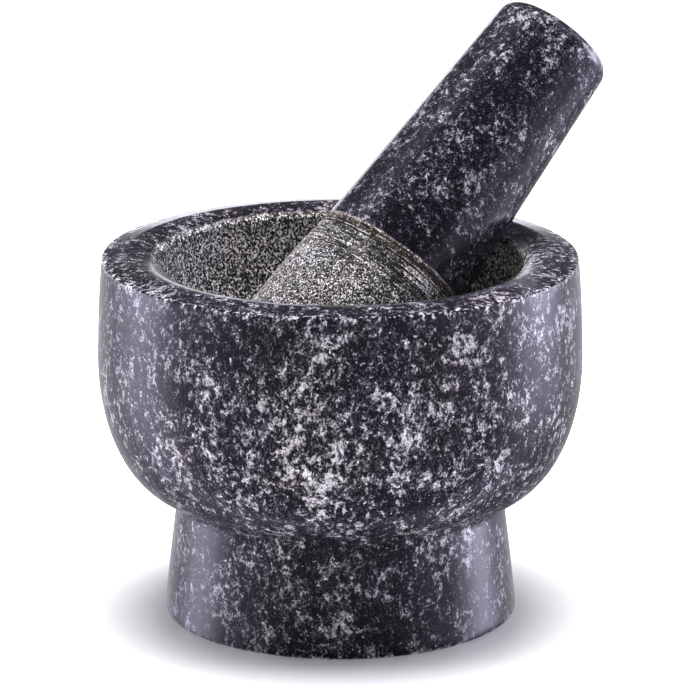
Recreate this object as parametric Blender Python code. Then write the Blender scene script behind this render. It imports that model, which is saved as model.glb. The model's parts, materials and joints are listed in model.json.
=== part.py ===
"""A granite mortar and pestle, in metres, +Z up.

The mortar is one turned block: a flared foot, a round bowl and a flat lip round an elliptical hollow.
The pestle is one turned rod: a tapering polished grip and a wider ground head. It leans in the hollow,
held off the lip and the wall by a small gap. The origin is the centre of the foot's base.
"""

import math

import bmesh
import bpy
from mathutils import Vector

# Mortar, outside
FOOT_RADIUS = 0.0475
FOOT_EDGE_ROUND = 0.0012
WAIST_RADIUS = 0.0442
WAIST_HEIGHT = 0.0320
WAIST_ROUND = 0.0016
BOWL_RADIUS = 0.0650
BOWL_RADIUS_HEIGHT = 0.0700
UNDERSIDE_WIDTH = 0.0203      # of the quarter ellipse from the waist out to the widest girth
UNDERSIDE_HEIGHT = 0.0367
BOWL_LEAN_POWER = 1.75        # how the wall draws in from the widest girth up to the rim
RIM_RADIUS = 0.0637
RIM_HEIGHT = 0.0978
RIM_EDGE_ROUND = 0.0009

# Mortar, inside
LIP_HEIGHT = 0.0988
LIP_ROUND = 0.0030
HOLLOW_RADIUS = 0.0490
HOLLOW_FLOOR_HEIGHT = 0.0400

# Pestle, along its own axis
GRIP_LENGTH = 0.0735          # from the collar line to the start of the top shoulder
GRIP_COLLAR_RADIUS = 0.0214
GRIP_TOP_RADIUS = 0.0170
SHOULDER_ROUND = 0.0046
TOP_CROWN = 0.0005
HEAD_LENGTH = 0.0620
HEAD_COLLAR_RADIUS = 0.0216
HEAD_RADIUS = 0.0242
HEAD_RADIUS_FROM_COLLAR = 0.0340

# Where the pestle rests
PESTLE_LEAN = math.radians(45.0)          # from the vertical
PESTLE_HEADING = math.radians(35.0)       # from +X towards +Y
COLLAR_TO_LIP = 0.0260                    # from the collar line up the grip to the lip
REST_GAP = 0.00035

# Fineness of the turned surfaces
MORTAR_STEPS = 64
PESTLE_STEPS = 48
JOIN_DISTANCE = 0.00001


def arc(centre, radii, start, end, steps):
    """Points of an elliptical arc as (radius, height). Angles are in degrees from outward to up."""
    angles = [math.radians(start + (end - start) * step / steps) for step in range(steps + 1)]
    return [
        (centre[0] + radii[0] * math.cos(angle), centre[1] + radii[1] * math.sin(angle))
        for angle in angles
    ]


def foot_outline():
    """From the centre of the base, round its edge and up the side to the waist."""
    edge = arc(
        (FOOT_RADIUS - FOOT_EDGE_ROUND, FOOT_EDGE_ROUND), (FOOT_EDGE_ROUND, FOOT_EDGE_ROUND), -90, 0, 3
    )
    waist_start = WAIST_HEIGHT - WAIST_ROUND
    middle = ((FOOT_RADIUS + WAIST_RADIUS) / 2, waist_start / 2)
    waist = arc(
        (WAIST_RADIUS + WAIST_ROUND, waist_start), (WAIST_ROUND, WAIST_ROUND), 180, 110, 3
    )
    return [(0.0, 0.0), *edge, middle, *waist]


def bowl_outline():
    """The underside as a quarter ellipse, then the wall drawing in to the rim."""
    centre = (BOWL_RADIUS - UNDERSIDE_WIDTH, BOWL_RADIUS_HEIGHT)
    underside = arc(centre, (UNDERSIDE_WIDTH, UNDERSIDE_HEIGHT), -84, 0, 11)
    wall_height = RIM_HEIGHT - BOWL_RADIUS_HEIGHT
    wall_top = wall_height - RIM_EDGE_ROUND
    wall = []
    for step in range(1, 6):
        rise = wall_top * step / 5
        inset = (BOWL_RADIUS - RIM_RADIUS) * (rise / wall_height) ** BOWL_LEAN_POWER
        wall.append((BOWL_RADIUS - inset, BOWL_RADIUS_HEIGHT + rise))
    rim_radius, rim_height = wall[-1]
    rim = arc((rim_radius - RIM_EDGE_ROUND, rim_height), (RIM_EDGE_ROUND, RIM_EDGE_ROUND), 30, 85, 2)
    return [*underside, *wall, *rim]


def hollow_outline():
    """The rounded inner edge of the lip, then a quarter ellipse down to the floor."""
    lip_centre = (HOLLOW_RADIUS + LIP_ROUND, LIP_HEIGHT - LIP_ROUND)
    lip = arc(lip_centre, (LIP_ROUND, LIP_ROUND), 90, 180, 5)
    depth = lip_centre[1] - HOLLOW_FLOOR_HEIGHT
    wall = arc((0.0, lip_centre[1]), (HOLLOW_RADIUS, depth), 0, -90, 14)
    return [*lip, *wall[1:-1], (0.0, HOLLOW_FLOOR_HEIGHT)]


def mortar_outline():
    return [*foot_outline(), *bowl_outline(), *hollow_outline()]


def pestle_outline():
    """From the tip of the head up to the crown. The collar line is at height 0."""
    tip_length = HEAD_LENGTH - HEAD_RADIUS_FROM_COLLAR
    tip = arc((0.0, -HEAD_RADIUS_FROM_COLLAR), (HEAD_RADIUS, tip_length), -90, 0, 9)
    swell = []
    for step in range(1, 6):
        fall = HEAD_RADIUS_FROM_COLLAR * (1 - step / 5)
        share = math.sin(math.pi / 2 * fall / HEAD_RADIUS_FROM_COLLAR)
        swell.append((HEAD_COLLAR_RADIUS + (HEAD_RADIUS - HEAD_COLLAR_RADIUS) * share, -fall))
    grip = [(GRIP_COLLAR_RADIUS, 0.0004), ((GRIP_COLLAR_RADIUS + GRIP_TOP_RADIUS) / 2, GRIP_LENGTH / 2)]
    shoulder = arc(
        (GRIP_TOP_RADIUS - SHOULDER_ROUND, GRIP_LENGTH), (SHOULDER_ROUND, SHOULDER_ROUND), 0, 85, 6
    )
    crown = (0.0, GRIP_LENGTH + SHOULDER_ROUND + TOP_CROWN)
    return [(0.0, -HEAD_LENGTH), *tip[1:], *swell, *grip, *shoulder, crown]


def resting_place():
    """The collar's centre, with the grip held a gap off the rounded edge of the lip."""
    outward = Vector((math.cos(PESTLE_HEADING), math.sin(PESTLE_HEADING), 0.0))
    up = Vector((0.0, 0.0, 1.0))
    along = outward * math.sin(PESTLE_LEAN) + up * math.cos(PESTLE_LEAN)
    away_from_lip = up * math.sin(PESTLE_LEAN) - outward * math.cos(PESTLE_LEAN)
    lip = outward * (HOLLOW_RADIUS + LIP_ROUND) + up * (LIP_HEIGHT - LIP_ROUND)
    taper = (GRIP_COLLAR_RADIUS - GRIP_TOP_RADIUS) / GRIP_LENGTH
    grip_radius = GRIP_COLLAR_RADIUS - taper * COLLAR_TO_LIP
    reach = grip_radius + (LIP_ROUND + REST_GAP) * math.hypot(1.0, taper)
    return lip + away_from_lip * reach - along * COLLAR_TO_LIP


def granite(name, colour, roughness):
    material = bpy.data.materials.new(name)
    material.use_nodes = True
    shader = material.node_tree.nodes["Principled BSDF"]
    shader.inputs["Base Color"].default_value = (*colour, 1.0)
    shader.inputs["Roughness"].default_value = roughness
    shader.inputs["Metallic"].default_value = 0.0
    return material


def turned(name, outline, steps, material):
    """A solid of revolution from an outline that starts and ends on the axis."""
    bm = bmesh.new()
    verts = [bm.verts.new((radius, 0.0, height)) for radius, height in outline]
    edges = [bm.edges.new(pair) for pair in zip(verts, verts[1:])]
    bmesh.ops.spin(
        bm,
        geom=[*verts, *edges],
        cent=(0.0, 0.0, 0.0),
        axis=(0.0, 0.0, 1.0),
        angle=math.tau,
        steps=steps,
    )
    bmesh.ops.remove_doubles(bm, verts=bm.verts, dist=JOIN_DISTANCE)
    bmesh.ops.recalc_face_normals(bm, faces=bm.faces)
    mesh = bpy.data.meshes.new(name)
    bm.to_mesh(mesh)
    bm.free()
    mesh.shade_smooth()
    mesh.set_sharp_from_angle(angle=math.radians(40))
    mesh.materials.append(material)
    piece = bpy.data.objects.new(name, mesh)
    bpy.context.scene.collection.objects.link(piece)
    return piece


def main():
    for old in list(bpy.data.objects):
        bpy.data.objects.remove(old, do_unlink=True)
    turned("mortar", mortar_outline(), MORTAR_STEPS, granite("mortar_granite", (0.060, 0.056, 0.066), 0.35))
    pestle = turned(
        "pestle", pestle_outline(), PESTLE_STEPS, granite("pestle_granite", (0.068, 0.066, 0.074), 0.40)
    )
    pestle.location = resting_place()
    pestle.rotation_euler = (0.0, PESTLE_LEAN, PESTLE_HEADING)


main()
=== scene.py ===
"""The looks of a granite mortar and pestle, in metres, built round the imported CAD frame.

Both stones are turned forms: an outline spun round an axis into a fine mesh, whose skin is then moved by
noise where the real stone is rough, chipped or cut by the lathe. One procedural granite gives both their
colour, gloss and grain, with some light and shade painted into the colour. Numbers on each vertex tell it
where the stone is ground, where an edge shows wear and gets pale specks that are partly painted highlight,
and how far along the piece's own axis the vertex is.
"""

import json
import math

import bpy
import numpy as np
from mathutils import Matrix, Vector, noise


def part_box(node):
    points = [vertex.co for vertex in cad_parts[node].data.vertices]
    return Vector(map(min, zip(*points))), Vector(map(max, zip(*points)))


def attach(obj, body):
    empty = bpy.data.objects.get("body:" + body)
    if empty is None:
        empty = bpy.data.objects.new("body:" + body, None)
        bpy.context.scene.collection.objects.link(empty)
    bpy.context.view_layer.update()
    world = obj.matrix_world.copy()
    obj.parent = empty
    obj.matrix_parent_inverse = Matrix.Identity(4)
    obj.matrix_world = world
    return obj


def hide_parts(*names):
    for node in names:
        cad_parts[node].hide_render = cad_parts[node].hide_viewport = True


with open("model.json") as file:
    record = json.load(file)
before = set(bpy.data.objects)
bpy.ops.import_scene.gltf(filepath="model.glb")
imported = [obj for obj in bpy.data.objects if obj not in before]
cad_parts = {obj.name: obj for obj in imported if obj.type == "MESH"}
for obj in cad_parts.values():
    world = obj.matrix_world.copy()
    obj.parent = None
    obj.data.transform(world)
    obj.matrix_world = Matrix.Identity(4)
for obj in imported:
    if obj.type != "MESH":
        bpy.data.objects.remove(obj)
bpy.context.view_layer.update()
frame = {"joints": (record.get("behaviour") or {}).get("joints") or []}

MM = 0.001

# The mortar's outline. Its girth and height come from the CAD node's box.
MORTAR_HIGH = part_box("mortar")[1]
BOWL_RADIUS = MORTAR_HIGH.x
LIP_HEIGHT = MORTAR_HIGH.z
FOOT_RADIUS = 0.0475
FOOT_EDGE_ROUND = 0.0012
WAIST_RADIUS = 0.0442
WAIST_HEIGHT = 0.0320
WAIST_ROUND = 0.0016
BOWL_RADIUS_HEIGHT = 0.0700
UNDERSIDE_WIDTH = 0.0203      # of the quarter ellipse from the waist out to the widest girth
UNDERSIDE_HEIGHT = 0.0367
BOWL_LEAN_POWER = 1.75        # how the wall draws in from the widest girth up to the rim
RIM_RADIUS = 0.0637
RIM_HEIGHT = LIP_HEIGHT - 0.0010
RIM_EDGE_ROUND = 0.0006
LIP_ROUND = 0.0030
LIP_ROUND_WIDTH = 0.0080      # the lip rolls gently over into the hollow
HOLLOW_RADIUS = 0.0490
HOLLOW_FLOOR_HEIGHT = 0.0400
MORTAR_STEPS = 384

# The mortar's skin. Depths and reaches are in metres, and noise scales are in cycles per metre.
GROUND_RADIUS = HOLLOW_RADIUS + 0.6 * LIP_ROUND     # nothing outside this is ground
ALL_GROUND_HEIGHT = LIP_HEIGHT - 0.0024
ALL_POLISHED_HEIGHT = LIP_HEIGHT - 0.0008
GROUND_EDGE_WANDER = 0.0005
RIM_WORN_REACH = 0.0022
FOOT_WORN_REACH = 0.0020
MORTAR_WAVINESS = 0.00004
CHIP_DEPTH = 0.00015
HOLLOW_GRAIN_DEPTH = 0.00011
WAVE_SCALE = 60.0
CHIP_SCALE = 420.0

# The pestle's outline, along its own axis, with the collar line at 0.
PESTLE_COLLAR = Vector(frame["joints"][0]["pos_m"])
PESTLE_LEAN = math.radians(45.0)
PESTLE_HEADING = math.radians(35.0)
GRIP_LENGTH = 0.0735
GRIP_COLLAR_RADIUS = 0.0214
GRIP_TOP_RADIUS = 0.0170
SHOULDER_ROUND = 0.0046
TOP_CROWN = 0.0005
HEAD_LENGTH = 0.0620
HEAD_COLLAR_RADIUS = 0.0216
HEAD_RADIUS = 0.0242
HEAD_RADIUS_FROM_COLLAR = 0.0340
COLLAR_BAND = 0.0026          # plain stained band between the collar line and the first turned line
TURNED_LENGTH = 0.0110        # how far down the head the lathe lines run
PESTLE_STEPS = 320

# The pestle's skin, in the same units.
COLLAR_EDGE_LOW = -0.0002     # all ground below this, and all polished above the next
COLLAR_EDGE_HIGH = 0.0003
COLLAR_EDGE_WANDER = 0.0002
GRIP_WAVINESS = 0.00003
GROOVE_DEPTH = 0.00014
GROOVE_HALF_WIDTH = 0.0004
LATHE_LINE_DEPTH = 0.00030
HEAD_GRAIN_DEPTH = 0.00008

# The camera looks along +Y, from far off through a long lens.
CAMERA_AIM = Vector((0.0026, 0.0, 0.0716))
CAMERA_DISTANCE = 1.4285
CAMERA_ELEVATION = math.radians(15.69)
CAMERA_LENS = 274.0
CAMERA_CLIP_END = 20.0

FLOOR_REACH = 4.0
FLOOR_COLOUR = (0.90, 0.90, 0.90, 1.0)
FLOOR_ROUGHNESS = 0.22
WHITE = (1.0, 1.0, 1.0, 1.0)
BACKGROUND_STRENGTH = 1.1     # of the white that the camera sees

# Soft boxes, each as its name, place, size and power in watts.
LIGHTS = (
    ("top", (0.0, 0.1, 0.95), (0.7, 0.7), 19.0),
    ("front", (-0.15, -0.85, 0.16), (0.7, 0.3), 1.3),
)


# ---------------------------------------------------------------- outlines


def arc(centre, radii, start, end, steps):
    """Points of an elliptical arc as (radius, height). Angles are in degrees from outward to up."""
    angles = [math.radians(start + (end - start) * step / steps) for step in range(steps + 1)]
    return [
        (centre[0] + radii[0] * math.cos(angle), centre[1] + radii[1] * math.sin(angle))
        for angle in angles
    ]


def line(start, end, steps):
    """Points after start, up to and with end."""
    shares = [step / steps for step in range(1, steps + 1)]
    return [
        (start[0] + (end[0] - start[0]) * share, start[1] + (end[1] - start[1]) * share)
        for share in shares
    ]


def mortar_outline():
    """From the centre of the base, up the outside, over the lip and down to the floor of the hollow."""
    edge_centre = (FOOT_RADIUS - FOOT_EDGE_ROUND, FOOT_EDGE_ROUND)
    foot_edge = arc(edge_centre, (FOOT_EDGE_ROUND, FOOT_EDGE_ROUND), -90, 0, 6)
    base = line((0.0, 0.0), foot_edge[0], 8)

    waist_start = WAIST_HEIGHT - WAIST_ROUND
    waist = arc(
        (WAIST_RADIUS + WAIST_ROUND, waist_start), (WAIST_ROUND, WAIST_ROUND), 180, 110, 5
    )
    foot_side = line(foot_edge[-1], waist[0], 34)

    underside_centre = (BOWL_RADIUS - UNDERSIDE_WIDTH, BOWL_RADIUS_HEIGHT)
    underside = arc(underside_centre, (UNDERSIDE_WIDTH, UNDERSIDE_HEIGHT), -84, 0, 42)

    wall_height = RIM_HEIGHT - BOWL_RADIUS_HEIGHT
    wall_top = wall_height - RIM_EDGE_ROUND
    wall = []
    for _, rise in line((0.0, 0.0), (0.0, wall_top), 26):
        inset = (BOWL_RADIUS - RIM_RADIUS) * (rise / wall_height) ** BOWL_LEAN_POWER
        wall.append((BOWL_RADIUS - inset, BOWL_RADIUS_HEIGHT + rise))
    rim_radius, rim_height = wall[-1]
    rim_centre = (rim_radius - RIM_EDGE_ROUND, rim_height)
    rim = arc(rim_centre, (RIM_EDGE_ROUND, RIM_EDGE_ROUND), 12, 85, 6)

    lip_centre = (HOLLOW_RADIUS + LIP_ROUND_WIDTH, LIP_HEIGHT - LIP_ROUND)
    lip_round = arc(lip_centre, (LIP_ROUND_WIDTH, LIP_ROUND), 90, 180, 18)
    lip = line(rim[-1], lip_round[0], 8)
    depth = lip_centre[1] - HOLLOW_FLOOR_HEIGHT
    hollow = arc((0.0, lip_centre[1]), (HOLLOW_RADIUS, depth), 0, -90, 96)
    return [
        (0.0, 0.0), *base, *foot_edge[1:], *foot_side, *waist[1:], *underside, *wall, *rim,
        *lip, *lip_round[1:], *hollow[1:-1], (0.0, HOLLOW_FLOOR_HEIGHT),
    ]


def pestle_outline():
    """From the tip of the head up to the crown. The rings are finest where the lathe lines run."""
    tip_length = HEAD_LENGTH - HEAD_RADIUS_FROM_COLLAR
    tip = arc((0.0, -HEAD_RADIUS_FROM_COLLAR), (HEAD_RADIUS, tip_length), -90, 0, 70)
    swell = []
    fine_start = -1.3 * TURNED_LENGTH
    falls = line((0.0, -HEAD_RADIUS_FROM_COLLAR), (0.0, fine_start), 34)
    falls += line((0.0, fine_start), (0.0, 0.0), 80)
    for _, height in falls:
        share = math.sin(-math.pi / 2 * height / HEAD_RADIUS_FROM_COLLAR)
        swell.append((HEAD_COLLAR_RADIUS + (HEAD_RADIUS - HEAD_COLLAR_RADIUS) * share, height))
    grip_start = (GRIP_COLLAR_RADIUS, 0.0004)
    shoulder = arc(
        (GRIP_TOP_RADIUS - SHOULDER_ROUND, GRIP_LENGTH), (SHOULDER_ROUND, SHOULDER_ROUND), 0, 85, 16
    )
    grip = [grip_start, *line(grip_start, shoulder[0], 88)]
    crown = line(shoulder[-1], (0.0, GRIP_LENGTH + SHOULDER_ROUND + TOP_CROWN), 12)
    return [(0.0, -HEAD_LENGTH), *tip[1:], *swell, *grip, *shoulder[1:], *crown]


# ---------------------------------------------------------------- turned meshes


def turned(name, outline, steps):
    """A closed mesh spun from an outline that starts and ends on the axis, with a map of its own.

    The map's U runs round the axis and its V along the outline, so that neither stone has scattered seams.
    """
    inner = outline[1:-1]
    rings = len(inner)
    angles = np.arange(steps) * math.tau / steps
    radii = np.array([point[0] for point in inner])
    heights = np.array([point[1] for point in inner])
    points = np.empty((rings, steps, 3))
    points[..., 0] = radii[:, None] * np.cos(angles)
    points[..., 1] = radii[:, None] * np.sin(angles)
    points[..., 2] = heights[:, None]
    verts = [*points.reshape(-1, 3), (0.0, 0.0, outline[0][1]), (0.0, 0.0, outline[-1][1])]
    first, last = rings * steps, rings * steps + 1

    lengths = [math.dist(a, b) for a, b in zip(outline, outline[1:])]
    along = np.concatenate([[0.0], np.cumsum(lengths)]) / sum(lengths)
    faces, map_points = [], []
    for step in range(steps):
        after = (step + 1) % steps
        left, right = step / steps, (step + 1) / steps
        faces.append((first, after, step))
        map_points += [(left, along[0]), (right, along[1]), (left, along[1])]
        for ring in range(rings - 1):
            low, high = ring * steps, (ring + 1) * steps
            faces.append((low + step, low + after, high + after, high + step))
            low_v, high_v = along[ring + 1], along[ring + 2]
            map_points += [(left, low_v), (right, low_v), (right, high_v), (left, high_v)]
        top = (rings - 1) * steps
        faces.append((top + step, top + after, last))
        map_points += [(left, along[-2]), (right, along[-2]), (left, along[-1])]

    mesh = bpy.data.meshes.new(name)
    mesh.from_pydata(verts, [], faces)
    layer = mesh.uv_layers.new(name="OFBake")
    layer.data.foreach_set("uv", np.array(map_points, np.float32).ravel())
    mesh.shade_smooth()
    piece = bpy.data.objects.new(name, mesh)
    bpy.context.scene.collection.objects.link(piece)
    return piece


def smooth_step(low, high, value):
    """0 up to low, 1 from high, and a smooth rise between them."""
    share = min(1.0, max(0.0, (value - low) / (high - low)))
    return share * share * (3.0 - 2.0 * share)


def skin(piece, relief):
    """Moves each vertex along its normal by relief(place) metres, where place is the vertex's own."""
    mesh = piece.data
    moves = [relief(vertex.co) for vertex in mesh.vertices]
    normals = [vertex.normal.copy() for vertex in mesh.vertices]
    for vertex, normal, move in zip(mesh.vertices, normals, moves):
        vertex.co += normal * move
    mesh.update()


def mortar_ground(place):
    """0 on the polished outside and lip, 1 in the ground hollow."""
    if place.z <= HOLLOW_FLOOR_HEIGHT - MM or math.hypot(place.x, place.y) >= GROUND_RADIUS:
        return 0.0
    wander = GROUND_EDGE_WANDER * noise.noise(place * 180.0)
    return 1.0 - smooth_step(ALL_GROUND_HEIGHT, ALL_POLISHED_HEIGHT, place.z + wander)


def mortar_worn(place):
    """1 on the sharp edges of the lip and the foot, where the polish is lost, and 0 a little way off. It
    places the chips, and also the pale specks that are partly painted highlight.
    """
    radius = math.hypot(place.x, place.y)
    rim_distance = math.hypot(radius - RIM_RADIUS + RIM_EDGE_ROUND, place.z - RIM_HEIGHT)
    foot_distance = math.hypot(radius - FOOT_RADIUS, place.z)
    return max(1.0 - rim_distance / RIM_WORN_REACH, 1.0 - foot_distance / FOOT_WORN_REACH, 0.0)


def mortar_relief(place):
    """Faint waviness from polishing, chips along both sharp edges, and the rough of the ground hollow."""
    wavy = MORTAR_WAVINESS * noise.noise(place * WAVE_SCALE)
    coarse = noise.noise(place * CHIP_SCALE)
    chip = -CHIP_DEPTH * mortar_worn(place) * smooth_step(0.05, 0.5, coarse)
    rough = coarse + 0.6 * noise.noise(place * 900.0)
    return wavy + chip + HOLLOW_GRAIN_DEPTH * rough * mortar_ground(place)


def pestle_ground(place):
    """0 on the polished grip, 1 on the ground head."""
    wander = COLLAR_EDGE_WANDER * noise.noise(place * 300.0)
    return 1.0 - smooth_step(COLLAR_EDGE_LOW, COLLAR_EDGE_HIGH, place.z + wander)


def pestle_relief(place):
    """Waviness on the grip, and on the head the collar's groove, lathe lines below it and ground grain."""
    wavy = GRIP_WAVINESS * noise.noise(place * WAVE_SCALE)
    groove = max(0.0, 1.0 - abs(place.z + COLLAR_BAND + GROOVE_HALF_WIDTH) / GROOVE_HALF_WIDTH)
    ragged = place.z + 0.002 * noise.noise(place * 90.0)
    fade = smooth_step(-TURNED_LENGTH, -0.35 * TURNED_LENGTH, ragged)
    fade *= 1.0 - smooth_step(-COLLAR_BAND - 0.0003, -COLLAR_BAND, place.z)
    lines = noise.noise(Vector((place.x * 40.0, place.y * 40.0, place.z * 1500.0)))
    rough = noise.noise(place * 520.0) + 0.7 * noise.noise(place * 1100.0)
    turned_relief = wavy - GROOVE_DEPTH * groove + LATHE_LINE_DEPTH * fade * lines
    return turned_relief + HEAD_GRAIN_DEPTH * rough * pestle_ground(place)


# ---------------------------------------------------------------- granite


class Nodes:
    """Short ways to add nodes to a material's tree."""

    def __init__(self, tree):
        self.tree = tree
        self.tree.nodes.clear()

    def add(self, kind, inputs, **settings):
        node = self.tree.nodes.new(kind)
        for key, value in settings.items():
            setattr(node, key, value)
        for key, value in inputs.items():
            if isinstance(value, bpy.types.NodeSocket):
                self.tree.links.new(value, node.inputs[key])
            else:
                node.inputs[key].default_value = value
        return node

    def math(self, operation, a, b=0.0):
        return self.add("ShaderNodeMath", {0: a, 1: b}, operation=operation).outputs[0]

    def shift(self, place, offset):
        return self.add("ShaderNodeVectorMath", {0: place, 1: offset}, operation="ADD").outputs[0]

    def stretch(self, place, factors):
        return self.add("ShaderNodeVectorMath", {0: place, 1: factors}, operation="MULTIPLY").outputs[0]

    def noise(self, place, scale, detail=2.0, roughness=0.5):
        inputs = {"Vector": place, "Scale": scale, "Detail": detail, "Roughness": roughness}
        return self.add("ShaderNodeTexNoise", inputs).outputs["Fac"]

    def ramp(self, value, low, high, to_low=0.0, to_high=1.0):
        """A smooth change from to_low, where value is low, to to_high, where it is high."""
        inputs = {"Value": value, "From Min": low, "From Max": high, "To Min": to_low, "To Max": to_high}
        node = self.add("ShaderNodeMapRange", inputs, interpolation_type="SMOOTHSTEP")
        return node.outputs["Result"]

    def total(self, *terms):
        """The sum of value × weight over the terms. A term whose value is 1.0 is a constant."""
        result = 0.0
        for value, weight in terms:
            inputs = {0: value, 1: weight, 2: result}
            result = self.add("ShaderNodeMath", inputs, operation="MULTIPLY_ADD").outputs[0]
        return result

    def product(self, first, *others):
        for other in others:
            first = self.math("MULTIPLY", first, other)
        return first

    def bump_at(self, value, middle, width):
        """1 where value is middle, falling to 0 at width to either side."""
        apart = self.math("ABSOLUTE", self.math("SUBTRACT", value, middle))
        return self.ramp(apart, 0.0, width, 1.0, 0.0)

    def share(self, share, a, b):
        """The number a where share is 0, and b where it is 1."""
        return self.add("ShaderNodeMix", {0: share, 2: a, 3: b}).outputs[0]

    def mix(self, share, a, b, blend_type="MIX"):
        """The same for colours."""
        settings = {"data_type": "RGBA", "blend_type": blend_type}
        return self.add("ShaderNodeMix", {0: share, 6: a, 7: b}, **settings).outputs[2]

    def shades(self, value, stops):
        """Colours along value, from (value, colour) stops."""
        node = self.add("ShaderNodeValToRGB", {0: value})
        elements = node.color_ramp.elements
        while len(elements) < len(stops):
            elements.new(0.5)
        for element, (position, colour) in zip(elements, stops):
            element.position = position
            element.color = colour
        return node.outputs["Color"]

    def number(self, name):
        """A number kept on the vertices, or 0 on a mesh that doesn't have it."""
        return self.add("ShaderNodeAttribute", {}, attribute_name=name).outputs["Fac"]


def shade(red, green, blue):
    """A colour from 0 to 255 display values, by the sRGB curve."""
    values = [channel / 255 for channel in (red, green, blue)]
    linear = [((value + 0.055) / 1.055) ** 2.4 if value > 0.04045 else value / 12.92 for value in values]
    return (*linear, 1.0)


# Shades of the polished stone, from black hornblende to white feldspar, by how pale the pattern makes a place.
POLISHED_SHADES = (
    (0.12, shade(19, 17, 23)),
    (0.21, shade(27, 24, 31)),
    (0.30, shade(38, 35, 43)),
    (0.37, shade(54, 51, 58)),
    (0.44, shade(75, 72, 79)),
    (0.50, shade(93, 90, 97)),
    (0.57, shade(118, 116, 122)),
    (0.62, shade(135, 133, 139)),
    (0.70, shade(157, 155, 161)),
    (0.87, shade(186, 184, 189)),
    (1.00, shade(212, 210, 214)),
)
# The same minerals ground rough: paler in the darks, and sandy.
GROUND_SHADES = (
    (0.00, shade(20, 19, 20)),
    (0.12, shade(35, 34, 35)),
    (0.32, shade(63, 62, 63)),
    (0.50, shade(98, 96, 98)),
    (0.64, shade(150, 148, 150)),
    (0.78, shade(204, 202, 204)),
    (0.90, shade(234, 232, 234)),
    (1.00, shade(250, 248, 250)),
)
COLLAR_STAIN = shade(214, 205, 196)
DUSTY_TINT = (1.02, 1.0, 0.94, 1.0)

# The layers of the pattern, each as its noise's scale, detail and roughness. One unit of place is about 1 mm.
BROAD_PATCHES = (0.105, 5.9, 0.70)
MIDDLE_BLOTCHES = (0.52, 2.3, 0.62)
DARK_VEINS = (0.46, 3.7, 0.77)
FLECKS = (1.85, 2.0, 0.65)
# a few small pale spots, painted glints
GLINT_SPECKS = (1.3, 0.0)
# pale specks along the edges that show wear: partly chipped stone, partly painted highlight
EDGE_WEAR_AND_HIGHLIGHT_SPECKS = (0.95, 2.0, 0.6)
GRIT = (1.9, 2.0, 0.5)
GLOSS_GRAIN = (0.8, 2.0)
TINT_DRIFT = (0.045, 2.0)
DUST_DRIFT = (0.055, 2.0)
LATHE_STREAKS = (1.0, 3.0, 0.7)
GROUND_CELL_SCALE = 2.3       # of the single crystals that show where the stone is ground
UPRIGHT_STRETCH = 0.82        # the pattern is a little drawn out upward
PAINTED_LIGHT_BAND_HEIGHT = 91.0            # mm up the mortar's axis, the middle of a pale band of painted light high in the hollow, where more light falls than deeper down
GROUND_ROUGHNESS = 0.8            # the shader's roughness where the stone is ground


def lathe_marks(nodes, place):
    """The lathe's streaks about 0, with painted highlights on the collar's ridges and painted shade in its
    groove, how strong its lines are, and the stain on the collar's band.

    Heights are in mm along the axis. All of these lie below 0, and so the mortar has none.
    """
    along = nodes.number("along")
    heights = nodes.add("ShaderNodeCombineXYZ", {"Z": nodes.math("MULTIPLY", along, 0.95)}).outputs[0]
    drawn_out = nodes.shift(nodes.stretch(place, (0.04, 0.04, 0.0)), heights)
    streaks = nodes.noise(drawn_out, *LATHE_STREAKS)
    cuts = nodes.bump_at(streaks, 0.5, 0.06)
    fade = nodes.product(nodes.ramp(along, -14.0, -8.0), nodes.ramp(along, -0.3, 0.0, 1.0, 0.0))
    lines = nodes.product(fade, nodes.total((streaks, 1.8), (cuts, -1.0), (1.0, -0.68)))
    # Painted highlights on the collar's two ridges, at the collar line and above the groove, and painted shade
    # in the groove.
    upper_ridge_highlight = nodes.bump_at(along, -0.25, 0.22)
    lower_ridge_highlight = nodes.bump_at(along, -2.55, 0.28)
    groove = nodes.bump_at(along, -3.0, 0.3)
    marks_and_painted_light = nodes.total((lines, 1.0), (upper_ridge_highlight, 0.40), (lower_ridge_highlight, 0.60), (groove, -0.8))
    stain = nodes.product(nodes.ramp(along, -2.8, -2.4), nodes.ramp(along, -0.2, 0.0, 1.0, 0.0))
    return marks_and_painted_light, fade, stain


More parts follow.
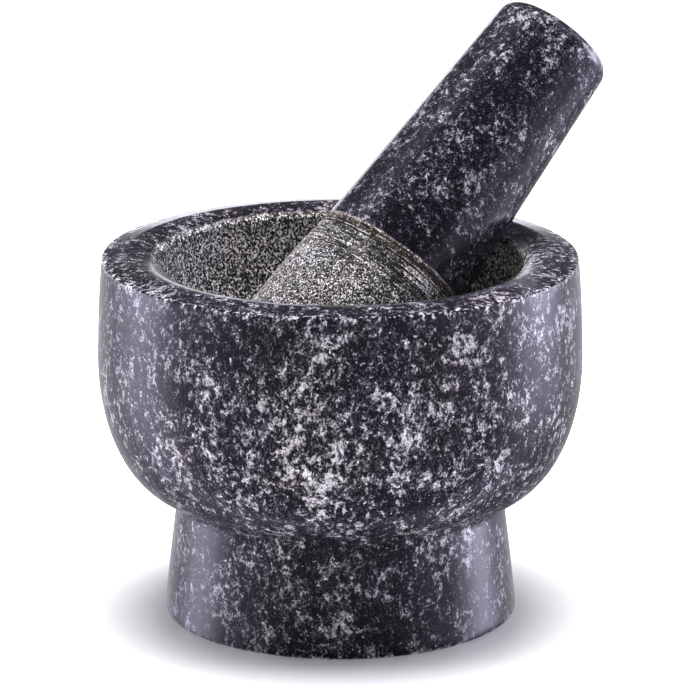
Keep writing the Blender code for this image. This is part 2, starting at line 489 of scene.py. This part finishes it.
def granite(name, offset, scale, paleness, warm, cool):
    """Stone by the piece's own place: offset and scale choose where and how fine its pattern is.

    Broad patches, ragged middling blotches, thin dark veins and fine flecks add up to the polished face's
    paleness, with a few small pale spots that are painted glints, and pale specks along the edges that show
    wear, which are partly painted highlight. Where the stone is ground, grit and single crystal grains lie
    over a fainter trace of the same pattern; the pestle's collar gets painted highlights on its ridges and
    painted shade in its groove, and the mortar's hollow a band of painted light just below the lip.
    Warm and cool are the tints that the polished face drifts between.
    """
    material = bpy.data.materials.new(name)
    material.use_nodes = True
    nodes = Nodes(material.node_tree)
    own_place = nodes.add("ShaderNodeTexCoord", {}).outputs["Object"]
    per_mm = scale / MM
    place = nodes.shift(nodes.stretch(own_place, (per_mm, per_mm, UPRIGHT_STRETCH * per_mm)), offset)
    ground, worn = nodes.number("ground"), nodes.number("worn")
    turning_and_painted_light, turned_zone, stain = lathe_marks(nodes, place)

    # How pale the polished face is. Weights say how much each layer adds, and constants centre the sum.
    warp = nodes.add("ShaderNodeTexNoise", {"Vector": place, "Scale": 0.39, "Detail": 3.0}).outputs["Color"]
    bent = nodes.shift(place, nodes.stretch(warp, (3.5, 3.5, 3.5)))
    broad = nodes.noise(bent, *BROAD_PATCHES)
    middle = nodes.noise(bent, *MIDDLE_BLOTCHES)
    veins = nodes.math("ABSOLUTE", nodes.math("SUBTRACT", nodes.noise(bent, *DARK_VEINS), 0.5))
    flecks = nodes.noise(place, *FLECKS)
    # Painted glints: a few small pale spots added to the paleness.
    painted_glints = nodes.ramp(nodes.noise(place, *GLINT_SPECKS), 0.76, 0.84, 0.0, 0.45)
    blotches = nodes.total(
        (broad, 0.90), (middle, 1.02), (nodes.product(broad, middle), 1.50), (veins, -2.0),
        (1.0, paleness - 0.935),
    )
    crisp = nodes.ramp(blotches, 0.38, 0.60, -0.07, 0.07)
    pale = nodes.total(
        (blotches, 0.58), (crisp, 1.0), (flecks, 1.25), (painted_glints, 1.0), (1.0, -0.445)
    )
    # Pale specks on the sharp edges of the lip and foot: partly chipped stone, partly painted highlight.
    edge_wear_and_highlight_specks = nodes.total((nodes.noise(place, *EDGE_WEAR_AND_HIGHLIGHT_SPECKS), 3.6), (1.0, -1.7))
    edge_wear_and_highlight_specks = nodes.product(worn, edge_wear_and_highlight_specks)
    tint = nodes.mix(nodes.ramp(nodes.noise(place, *TINT_DRIFT), 0.38, 0.62), warm, cool)
    polished = nodes.shades(nodes.math("ADD", pale, edge_wear_and_highlight_specks), POLISHED_SHADES)
    polished = nodes.mix(1.0, polished, tint, "MULTIPLY")

    # The ground face, whose speckle is weaker where the lathe lines run.
    loose = nodes.shift(place, nodes.stretch(warp, (1.6, 1.6, 1.6)))
    grit = nodes.noise(loose, *GRIT)
    cells = nodes.add("ShaderNodeTexVoronoi", {"Vector": loose, "Scale": GROUND_CELL_SCALE})
    crystal = nodes.add("ShaderNodeSeparateColor", {0: cells.outputs["Color"]}).outputs[0]
    # Painted light: the ground hollow is made paler in a band just below the lip, where more light falls than
    # deeper down.
    painted_light_band = nodes.bump_at(nodes.number("along"), PAINTED_LIGHT_BAND_HEIGHT, 6.0)
    speckle = nodes.total((grit, 3.4), (crystal, 1.05), (1.0, -2.2))
    speckle = nodes.product(speckle, nodes.total((turned_zone, -0.40), (1.0, 1.0)))
    sand = nodes.total(
        (speckle, 1.0), (pale, 0.50), (turning_and_painted_light, 0.70), (stain, -0.04), (painted_light_band, 0.16), (1.0, 0.17)
    )
    dusty = nodes.mix(nodes.ramp(nodes.noise(place, *DUST_DRIFT), 0.35, 0.65), DUSTY_TINT, WHITE)
    rough = nodes.mix(stain, nodes.shades(sand, GROUND_SHADES), COLLAR_STAIN, "MULTIPLY")
    rough = nodes.mix(1.0, rough, dusty, "MULTIPLY")

    gloss_grain = nodes.total((nodes.noise(place, *GLOSS_GRAIN), 0.12), (1.0, 0.11))
    grain = nodes.product(nodes.total((grit, 1.0), (crystal, 1.0), (turning_and_painted_light, 0.7)), ground)
    bump = nodes.add("ShaderNodeBump", {"Height": grain, "Strength": 0.7, "Distance": 0.0003})
    shader = nodes.add("ShaderNodeBsdfPrincipled", {
        "Base Color": nodes.mix(ground, polished, rough),
        "Roughness": nodes.share(ground, gloss_grain, GROUND_ROUGHNESS),
        "Normal": bump.outputs[0],
    })
    nodes.add("ShaderNodeOutputMaterial", {"Surface": shader.outputs[0]})
    return material


# ---------------------------------------------------------------- pieces


def dressed(piece, material, body, node):
    """Gives a piece its material, the body it rides on, and the CAD node that it stands for."""
    piece.data.materials.append(material)
    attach(piece, body)
    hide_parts(node)


def number_skin(mesh, **numbers):
    """Keeps numbers for each vertex, found from its place, which the granite's nodes read by name."""
    for name, number in numbers.items():
        values = np.array([number(vertex.co) for vertex in mesh.vertices], np.float32)
        mesh.attributes.new(name, "FLOAT", "POINT").data.foreach_set("value", values)


def make_mortar():
    stone = turned("mortar_stone", mortar_outline(), MORTAR_STEPS)
    number_skin(stone.data, ground=mortar_ground, worn=mortar_worn, along=lambda place: place.z / MM)
    skin(stone, mortar_relief)
    warm, cool = (1.01, 0.99, 0.98, 1.0), (0.96, 0.98, 1.04, 1.0)
    material = granite("polished_mortar", (0.0, 0.0, 0.0), 1.0, 0.0, warm, cool)
    dressed(stone, material, "mortar", "mortar")


def make_pestle():
    """The mesh is leaned, not the object, so that the piece's own box is as tight as the CAD's."""
    stone = turned("pestle_stone", pestle_outline(), PESTLE_STEPS)
    number_skin(stone.data, ground=pestle_ground, along=lambda place: place.z / MM)
    skin(stone, pestle_relief)
    turn = Matrix.Rotation(PESTLE_HEADING, 4, "Z") @ Matrix.Rotation(PESTLE_LEAN, 4, "Y")
    stone.data.transform(Matrix.Translation(PESTLE_COLLAR) @ turn)
    warm, cool = (1.0, 0.98, 1.0, 1.0), (0.91, 1.0, 1.04, 1.0)
    material = granite("pestle_stone", (80.0, 40.0, 20.0), 1.28, -0.07, warm, cool)
    dressed(stone, material, "pestle", "pestle")


# ---------------------------------------------------------------- studio


def make_floor():
    """A white floor that the stones shade but don't mirror.

    It glows by its distance from the mortar's axis: hardly at all at the foot, so that the shadow shows there,
    most in a ring beyond the shadow's end, and less than half as much far off.
    """
    mesh = bpy.data.meshes.new("floor")
    signs = ((-1.0, -1.0), (1.0, -1.0), (1.0, 1.0), (-1.0, 1.0))
    corners = [(x * FLOOR_REACH, y * FLOOR_REACH, 0.0) for x, y in signs]
    mesh.from_pydata(corners, [], [(0, 1, 2, 3)])
    floor = bpy.data.objects.new("floor", mesh)
    floor.visible_glossy = False
    bpy.context.scene.collection.objects.link(floor)
    material = bpy.data.materials.new("pale_floor")
    material.use_nodes = True
    nodes = Nodes(material.node_tree)
    place = nodes.add("ShaderNodeTexCoord", {}).outputs["Object"]
    distance = nodes.add("ShaderNodeVectorMath", {0: place}, operation="LENGTH").outputs["Value"]
    near_rise = nodes.ramp(distance, 0.045, 0.10)
    ring_rise = nodes.ramp(distance, 0.08, 0.14)
    far_fall = nodes.ramp(distance, 0.16, 0.36)
    glow = nodes.total((near_rise, 0.54), (ring_rise, 2.1), (far_fall, -1.7), (1.0, 0.13))
    shader = nodes.add("ShaderNodeBsdfPrincipled", {
        "Base Color": FLOOR_COLOUR,
        "Emission Color": WHITE,
        "Emission Strength": glow,
        "Roughness": FLOOR_ROUGHNESS,
    })
    nodes.add("ShaderNodeOutputMaterial", {"Surface": shader.outputs[0]})
    mesh.materials.append(material)


def make_light(name, place, size, power):
    """A soft box aimed at the stones, which lights them but isn't mirrored in them."""
    light = bpy.data.lights.new(name, "AREA")
    light.shape = "RECTANGLE"
    light.size, light.size_y = size
    light.energy = power
    lamp = bpy.data.objects.new(name, light)
    lamp.location = place
    lamp.rotation_mode = "QUATERNION"
    lamp.rotation_quaternion = (CAMERA_AIM - Vector(place)).to_track_quat("-Z", "Y")
    lamp.visible_camera = False
    lamp.visible_glossy = False
    bpy.context.scene.collection.objects.link(lamp)


def mirrored_room(nodes):
    """How bright and of what tint the room is that the stones mirror, by direction.

    It is dark in front, bright at both sides and paler behind. It fades downward, and upward above the
    horizon, where the part behind fades soonest. A soft patch to the right and a little behind is brighter.
    """
    direction = nodes.add("ShaderNodeTexCoord", {}).outputs["Generated"]
    up = nodes.add("ShaderNodeSeparateXYZ", {0: direction}).outputs["Z"]
    level = nodes.stretch(direction, (1.0, 1.0, 0.0))
    heading = nodes.add("ShaderNodeVectorMath", {0: level}, operation="NORMALIZE").outputs[0]
    headings = nodes.add("ShaderNodeSeparateXYZ", {0: heading})
    rightward, backward = headings.outputs["X"], headings.outputs["Y"]

    spread = nodes.total(
        (nodes.ramp(backward, -0.24, 0.26), 0.85), (nodes.ramp(backward, -0.95, -0.10), 0.15)
    )
    side_over_back = nodes.ramp(backward, 0.30, 0.75, 2.7, 0.75)

    left_fall = nodes.ramp(up, -0.80, -0.15, 0.25, 1.0)
    right_fall = nodes.ramp(up, -0.55, -0.12, 0.20, 1.0)
    fall = nodes.share(nodes.ramp(rightward, -0.3, 0.3), left_fall, right_fall)
    horizon_rise = nodes.ramp(up, -0.22, -0.08, 1.0, 1.9)

    above_sides = nodes.ramp(up, 0.08, 0.42, 1.0, 0.12)
    above_back = nodes.total(
        (nodes.ramp(up, 0.03, 0.11, 1.0, 0.04), 1.0), (nodes.bump_at(up, 0.05, 0.07), 0.9)
    )
    above = nodes.share(nodes.ramp(backward, 0.60, 0.90), above_sides, above_back)

    right_spot = nodes.product(
        nodes.bump_at(backward, 0.36, 0.34), nodes.ramp(up, -0.24, -0.10), nodes.ramp(rightward, 0.0, 0.3)
    )
    spot_gain = nodes.total((right_spot, 1.2), (1.0, 1.0))

    walls = nodes.product(spread, side_over_back, fall, horizon_rise, above, spot_gain)
    low_band = nodes.bump_at(up, -0.04, 0.15)
    strength = nodes.total((walls, 1.0), (low_band, 0.12), (1.0, 0.02))
    tint = nodes.mix(nodes.ramp(backward, 0.5, 0.9), (0.93, 0.87, 1.15, 1.0), (0.98, 0.95, 1.05, 1.0))
    return strength, tint


def make_world():
    """Plain white to the camera, and the mirrored room to everything else."""
    world = bpy.data.worlds.new("studio")
    bpy.context.scene.world = world
    world.use_nodes = True
    nodes = Nodes(world.node_tree)
    strength, tint = mirrored_room(nodes)
    seen = nodes.add("ShaderNodeLightPath", {}).outputs["Is Camera Ray"]
    sky = nodes.add("ShaderNodeBackground", {"Color": tint, "Strength": strength})
    plain = nodes.add("ShaderNodeBackground", {"Color": WHITE, "Strength": BACKGROUND_STRENGTH})
    both = nodes.add("ShaderNodeMixShader", {0: seen, 1: sky.outputs[0], 2: plain.outputs[0]})
    nodes.add("ShaderNodeOutputWorld", {"Surface": both.outputs[0]})


def make_camera():
    lens = bpy.data.cameras.new("camera")
    lens.lens = CAMERA_LENS
    lens.clip_end = CAMERA_CLIP_END
    camera = bpy.data.objects.new("camera", lens)
    away = Vector((0.0, -math.cos(CAMERA_ELEVATION), math.sin(CAMERA_ELEVATION)))
    camera.location = CAMERA_AIM + away * CAMERA_DISTANCE
    camera.rotation_euler = (math.pi / 2 - CAMERA_ELEVATION, 0.0, 0.0)
    bpy.context.scene.collection.objects.link(camera)
    bpy.context.scene.camera = camera
    bpy.context.scene.view_settings.view_transform = "Standard"


make_camera()
make_mortar()
make_pestle()
make_floor()
for light in LIGHTS:
    make_light(*light)
make_world()
